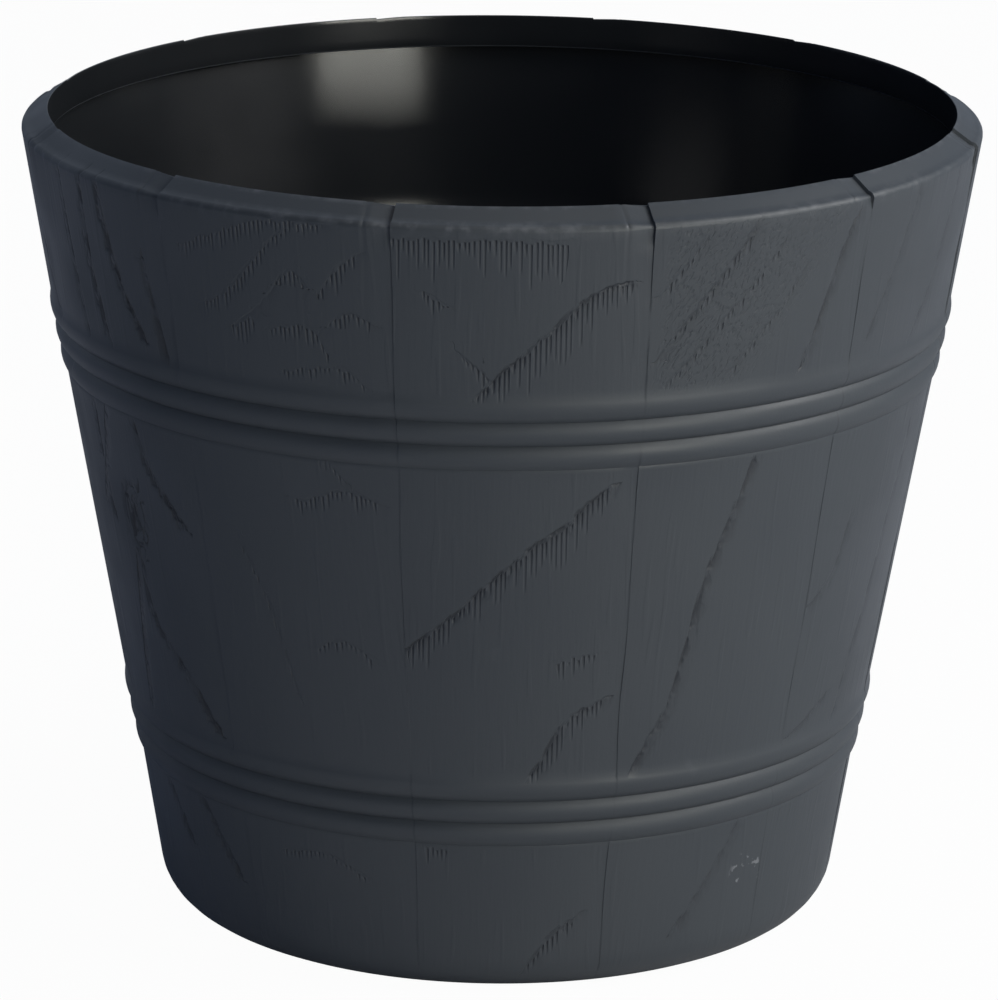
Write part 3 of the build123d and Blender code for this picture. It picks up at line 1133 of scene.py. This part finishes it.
outsideFinish = {
    "dark": (0.032, 0.037, 0.042),
    "light": (0.043, 0.049, 0.054),
    # painted shade in the ticks and creases
    "groove": (0.012, 0.014, 0.018),
    # painted highlight beside the ticks, for the lit edges of the grooves
    "tickHighlight": (0.085, 0.092, 0.098),
    "tickHighlightShare": 0.5,
    "scuff": (0.11, 0.115, 0.12),
    # pale colour of the flecks and of the rim line, which is partly wear and partly painted highlight
    "paleWearAndHighlight": (0.15, 0.155, 0.16),
    "cloudRange": (0.3, 0.7),
    "roughness": (0.44, 0.6),
    "tickPitch": 0.002,
    "tickDepth": 0.00055,
    "creaseDepth": 0.0009,
    "creaseWidth": 0.0025,
    "grooveShade": 0.88,
    "rimSpotScale": 210.0,
    "rimSpotRange": (0.42, 0.7, 0.05, 1.0),
    "rimSpotPatches": (0.35, 0.65, 0.25, 1.0),
    "scuffAmount": 0.12,
    "streakDepth": 0.00009,
    "strokeDepth": 0.00006,
    "hatchDepth": 0.0002,
    "pitDepth": 0.00003,
}


def outsideMaterial():
    # Matt anthracite with wood grain moulded in
    material, tree, shader = newMaterial("anthraciteGrain")
    calc, look = mathIn(tree), outsideFinish
    place = tree.nodes.new("ShaderNodeTexCoord").outputs["Object"]
    split = tree.nodes.new("ShaderNodeSeparateXYZ")
    tree.links.new(place, split.inputs[0])
    up = split.outputs[2]

    def attribute(name):
        node = tree.nodes.new("ShaderNodeAttribute")
        node.attribute_name = name
        return node.outputs["Fac"]

    across, seed, onPlank = attribute("across"), attribute("staveSeed"), attribute("onPlank")
    depth, groove, tickHighlight = 0.0, 0.0, 0.0
    for letter in grainSets:
        values = {"Across": across, "Up": up, "Seed": seed}
        values.update({part.capitalize(): attribute(part + letter) for part in grainParts})
        values.update({
            "Tick Pitch": look["tickPitch"],
            "Tick Depth": look["tickDepth"],
            "Crease Depth": look["creaseDepth"],
            "Crease Width": look["creaseWidth"],
        })
        relief = placeGroup(tree, grainRelief, values)
        depth = calc("MAXIMUM", depth, relief.outputs["Depth"])
        groove = calc("MAXIMUM", groove, relief.outputs["Groove"])
        tickHighlight = calc("MAXIMUM", tickHighlight, relief.outputs["Tick Highlight"])
    brush = placeGroup(tree, brushedPlank, {"Across": across, "Up": up, "Seed": seed})
    skin = placeGroup(tree, mouldedSkin, {"Place": place, "Scuff Amount": look["scuffAmount"]})
    cloud = skin.outputs["Cloud"]
    # Colour: clouds, painted highlights beside the ticks, painted shade in the grooves, scuffs, then the pale
    # rim line (partly wear, partly painted highlight) and flecks
    colour = mixColour(tree, cloud, look["dark"], look["light"])
    # Painted highlight: pale strokes beside the ticks for the lit edges of their grooves
    paintedTickHighlight = calc("MULTIPLY", calc("MULTIPLY", tickHighlight, onPlank), look["tickHighlightShare"])
    colour = mixColour(tree, paintedTickHighlight, colour, look["tickHighlight"])
    # Painted shade: the ticks and creases darkened as if shadowed in their grooves
    shade = calc("MULTIPLY", calc("MULTIPLY", groove, onPlank), look["grooveShade"])
    colour = mixColour(tree, shade, colour, look["groove"])
    colour = mixColour(tree, skin.outputs["Scuff"], colour, look["scuff"])
    # The pale rim line: partly wear, partly a painted highlight along the shoulder and mouth edges, broken
    # into spots
    spots = newRange(tree, newNoise(tree, place, look["rimSpotScale"], 5.0), *look["rimSpotRange"])
    wornAndLitRim = calc("MULTIPLY", attribute("rimWearAndHighlight"), spots)
    wornAndLitRim = calc("MULTIPLY", wornAndLitRim, newRange(tree, cloud, *look["rimSpotPatches"]))
    specks = newRange(tree, newNoise(tree, place, flecks["scale"], 2.0), *flecks["threshold"])
    fleck = calc("MULTIPLY", newRange(tree, attribute("fleck"), 0.0, flecks["edge"]), specks)
    colour = mixColour(tree, calc("MAXIMUM", wornAndLitRim, fleck), colour, look["paleWearAndHighlight"])
    tree.links.new(colour, shader.inputs["Base Color"])
    tree.links.new(newRange(tree, cloud, *look["cloudRange"], *look["roughness"]), shader.inputs["Roughness"])
    # Relief: brushed streaks, the hatching that leans down to the left, grain and pin-pricks
    raised = calc("MULTIPLY", brush.outputs["Streaks"], look["streakDepth"])
    raised = calc("ADD", raised, calc("MULTIPLY", brush.outputs["Strokes"], look["strokeDepth"]))
    along = calc("ADD", across, calc("MULTIPLY", up, hatched["slant"]))
    over = calc("SUBTRACT", up, calc("MULTIPLY", across, hatched["lean"]))
    along = calc("MULTIPLY", along, hatched["lengthScale"])
    over = calc("MULTIPLY", over, hatched["widthScale"])
    hatch = newNoise(tree, newPlace(tree, along, over), 1.0, 3.0)
    marks = calc("MULTIPLY", newRange(tree, hatch, *hatched["threshold"]), attribute("hatching"))
    raised = calc("SUBTRACT", raised, calc("MULTIPLY", marks, look["hatchDepth"]))
    relieved = calc("MULTIPLY", calc("SUBTRACT", raised, depth), onPlank)
    pits = calc("MULTIPLY", skin.outputs["Pits"], look["pitDepth"])
    addBump(tree, calc("ADD", relieved, pits), shader.inputs["Normal"])
    return material


# Smooth glossy inside with the slight waves of an unpolished moulding; the same plastic as the outside, its
# colour darkened almost to black as painted shade for the pot's shaded inside
insideFinish = {
    "cloudScale": 22.0,
    # near black: painted shade over the outside's plastic colour
    "dark": (0.008, 0.009, 0.010),
    "light": (0.014, 0.015, 0.016),
    "cloudRange": (0.1, 0.9),
    "roughness": (0.19, 0.23),
    "waveDepth": 0.0002,
    "pitDepth": 0.000006,
    "stretch": 0.5,
    "shine": 0.55,
}

# Cut edge of the lip, a little paler, partly as cut plastic and partly as a painted highlight along the lip's
# edge, with fine trimming marks
trimmedFinish = {
    "cloudScale": 90.0,
    "dark": (0.03, 0.034, 0.038),
    "light": (0.06, 0.064, 0.068),
    "cloudRange": (0.3, 0.7),
    "roughness": (0.35, 0.5),
    "pitDepth": 0.00003,
}

# Matt black rubber of the drain plugs
rubberFinish = {
    "cloudScale": 60.0,
    "pitScale": 1600.0,
    "dark": (0.016, 0.016, 0.017),
    "light": (0.030, 0.030, 0.031),
    "scuff": (0.09, 0.09, 0.09),
    "scuffAmount": 0.4,
    "cloudRange": (0.3, 0.7),
    "roughness": (0.6, 0.78),
    "pitDepth": 0.00003,
}


def skinMaterial(name, look):
    # A plain moulded material: cloudy colour and roughness, scuffs where it has them, fine pits
    material, tree, shader = newMaterial(name)
    place = tree.nodes.new("ShaderNodeTexCoord").outputs["Object"]
    values = {"Place": place, "Cloud Scale": look["cloudScale"], "Scuff Amount": look.get("scuffAmount", 0.0)}
    if "pitScale" in look:
        values["Pit Scale"] = look["pitScale"]
    skin = placeGroup(tree, mouldedSkin, values)
    cloud = skin.outputs["Cloud"]
    colour = mixColour(tree, cloud, look["dark"], look["light"])
    if "scuff" in look:
        colour = mixColour(tree, skin.outputs["Scuff"], colour, look["scuff"])
    tree.links.new(colour, shader.inputs["Base Color"])
    roughness = newRange(tree, cloud, *look["cloudRange"], *look["roughness"])
    tree.links.new(roughness, shader.inputs["Roughness"])
    height = newMath(tree, "MULTIPLY", skin.outputs["Pits"], look["pitDepth"])
    if "waveDepth" in look:
        height = newMath(tree, "ADD", newMath(tree, "MULTIPLY", cloud, look["waveDepth"]), height)
    addBump(tree, height, shader.inputs["Normal"])
    return material, tree, shader


def insideMaterial():
    material, tree, shader = skinMaterial("smoothShadedInside", insideFinish)
    # Rings left by the mould stretch every reflection upwards and downwards
    tree.links.new(newPlace(tree, 0.0, 0.0, 1.0), shader.inputs["Tangent"])
    shader.inputs["Anisotropic"].default_value = insideFinish["stretch"]
    shader.inputs["Specular IOR Level"].default_value = insideFinish["shine"]
    return material


shell = shellObject()
trimmed = skinMaterial("trimmedEdgeAndHighlight", trimmedFinish)[0]
applyTree(shell, jointTree(), dict(zip(faceFinishes, (outsideMaterial(), insideMaterial(), trimmed))))
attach(shell, "pot")
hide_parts("pot_shell")
print("shell finished:", sum(len(face.vertices) - 2 for face in shell.data.polygons), "triangles")

rubber = skinMaterial("plugRubber", rubberFinish)[0]
for name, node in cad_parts.items():
    if name.startswith("drain_plug"):
        node.data.materials.clear()
        node.data.materials.append(rubber)
print("plugs finished")

# The floor and the light, plain and soft
studio = {
    "floorSize": 12.0,
    "floorColour": (0.62, 0.62, 0.62),
    "floorGlow": 0.97,  # share of plain white that the camera sees in the floor
    "fill": (0.13, 0.18, 0.3),
    "mirrored": (0.8, 0.93, 1.15),
    "darkSide": 0.02,
    "whiteSide": 0.35,
    "target": (0.0, 0.0, 0.2),
    "backdrop": (-0.15, 0.35),  # from the dark side to the white one, as a direction's share towards the back
    "floorGap": 0.2 * mm,
    "lights": {
        "frontWindow": {
            "azimuth": 35.5,
            "elevation": 6.0,
            "distance": 2.7,
            "size": (1.3, 0.42),
            "power": 21.5,
            "colour": (1.0, 1.0, 0.92),
        },
        "rightWindow": {
            "azimuth": 80.0,
            "elevation": 34.0,
            "distance": 2.6,
            "size": (1.8, 1.6),
            "power": 56.0,
            "colour": (1.0, 1.0, 1.0),
        },
        "upperWindow": {
            "azimuth": 34.0,
            "elevation": 27.0,
            "distance": 2.6,
            "size": (0.9, 0.2),
            "power": 4.0,
            "colour": (1.0, 1.0, 0.92),
        },
        "overhead": {
            "azimuth": 25.0,
            "elevation": 76.0,
            "distance": 2.4,
            "size": (1.6, 1.6),
            "power": 4.0,
            "colour": (1.0, 0.8, 0.5),
        },
    },
}


def areaLight(name, settings):
    data = bpy.data.lights.new(name, "AREA")
    data.shape = "RECTANGLE"
    data.size, data.size_y = settings["size"]
    data.energy = settings["power"]
    data.color = settings["colour"]
    lamp = bpy.data.objects.new(name, data)
    azimuth, elevation = math.radians(settings["azimuth"]), math.radians(settings["elevation"])
    level = math.cos(elevation)
    towards = Vector((level * math.sin(azimuth), -level * math.cos(azimuth), math.sin(elevation)))
    lamp.location = Vector(studio["target"]) + towards * settings["distance"]
    lamp.rotation_euler = towards.to_track_quat("Z", "Y").to_euler()
    bpy.context.scene.collection.objects.link(lamp)


def makeFloor():
    mesh = bpy.data.meshes.new("floor")
    half = studio["floorSize"] / 2
    corners = [(-half, -half, 0), (half, -half, 0), (half, half, 0), (-half, half, 0)]
    mesh.from_pydata(corners, [], [(0, 1, 2, 3)])
    floor = bpy.data.objects.new("floor", mesh)
    floor.location.z = -studio["floorGap"]
    bpy.context.scene.collection.objects.link(floor)
    material = bpy.data.materials.new("paleFloor")
    material.use_nodes = True
    tree = material.node_tree
    tree.nodes.clear()
    output = tree.nodes.new("ShaderNodeOutputMaterial")
    matt = tree.nodes.new("ShaderNodeBsdfDiffuse")
    matt.inputs["Color"].default_value = (*studio["floorColour"], 1.0)
    glow = tree.nodes.new("ShaderNodeEmission")
    glow.inputs["Strength"].default_value = 1.0
    path = tree.nodes.new("ShaderNodeLightPath")
    mix = tree.nodes.new("ShaderNodeMixShader")
    seen = newMath(tree, "MULTIPLY", path.outputs["Is Camera Ray"], studio["floorGlow"])
    tree.links.new(seen, mix.inputs[0])
    tree.links.new(matt.outputs[0], mix.inputs[1])
    tree.links.new(glow.outputs[0], mix.inputs[2])
    tree.links.new(mix.outputs[0], output.inputs[0])
    mesh.materials.append(material)


def makeWorld():
    # The camera sees plain white; reflections see a white backdrop behind the pot and a dark room before it
    world = bpy.data.worlds.new("studio")
    bpy.context.scene.world = world
    world.use_nodes = True
    tree = world.node_tree
    tree.nodes.clear()
    output = tree.nodes.new("ShaderNodeOutputWorld")
    path = tree.nodes.new("ShaderNodeLightPath")
    split = tree.nodes.new("ShaderNodeSeparateXYZ")
    tree.links.new(tree.nodes.new("ShaderNodeTexCoord").outputs["Generated"], split.inputs[0])
    backdrop = newRange(tree, split.outputs[1], *studio["backdrop"], studio["darkSide"], studio["whiteSide"])
    fill, mirrored, white = [tree.nodes.new("ShaderNodeBackground") for _ in range(3)]
    fill.inputs["Color"].default_value = (*studio["fill"], 1.0)
    mirrored.inputs["Color"].default_value = (*studio["mirrored"], 1.0)
    tree.links.new(backdrop, mirrored.inputs["Strength"])
    shiny = newMath(tree, "MAXIMUM", path.outputs["Is Glossy Ray"], path.outputs["Is Transmission Ray"])
    here = fill.outputs[0]
    for share, background in ((shiny, mirrored), (path.outputs["Is Camera Ray"], white)):
        mix = tree.nodes.new("ShaderNodeMixShader")
        tree.links.new(share, mix.inputs[0])
        tree.links.new(here, mix.inputs[1])
        tree.links.new(background.outputs[0], mix.inputs[2])
        here = mix.outputs[0]
    tree.links.new(here, output.inputs[0])


cameraSetup = {
    "place": (0.0, -2.3613, 0.8465),
    "tilt": 74.013,
    "roll": 0.494,
    "lens": 208.17,
    "sensor": 36.0,
    "farthest": 50.0,
}


def makeCamera():
    data = bpy.data.cameras.new("camera")
    data.lens = cameraSetup["lens"]
    data.sensor_width = cameraSetup["sensor"]
    data.clip_end = cameraSetup["farthest"]
    camera = bpy.data.objects.new("camera", data)
    camera.location = cameraSetup["place"]
    tilt = Matrix.Rotation(math.radians(cameraSetup["tilt"]), 3, "X")
    roll = Matrix.Rotation(math.radians(cameraSetup["roll"]), 3, "Z")
    camera.rotation_euler = (tilt @ roll).to_euler()
    bpy.context.scene.collection.objects.link(camera)
    bpy.context.scene.camera = camera


makeFloor()
makeWorld()
for lightName, lightSettings in studio["lights"].items():
    areaLight(lightName, lightSettings)
makeCamera()
bpy.context.scene.view_settings.view_transform = "Standard"
print("stage finished")
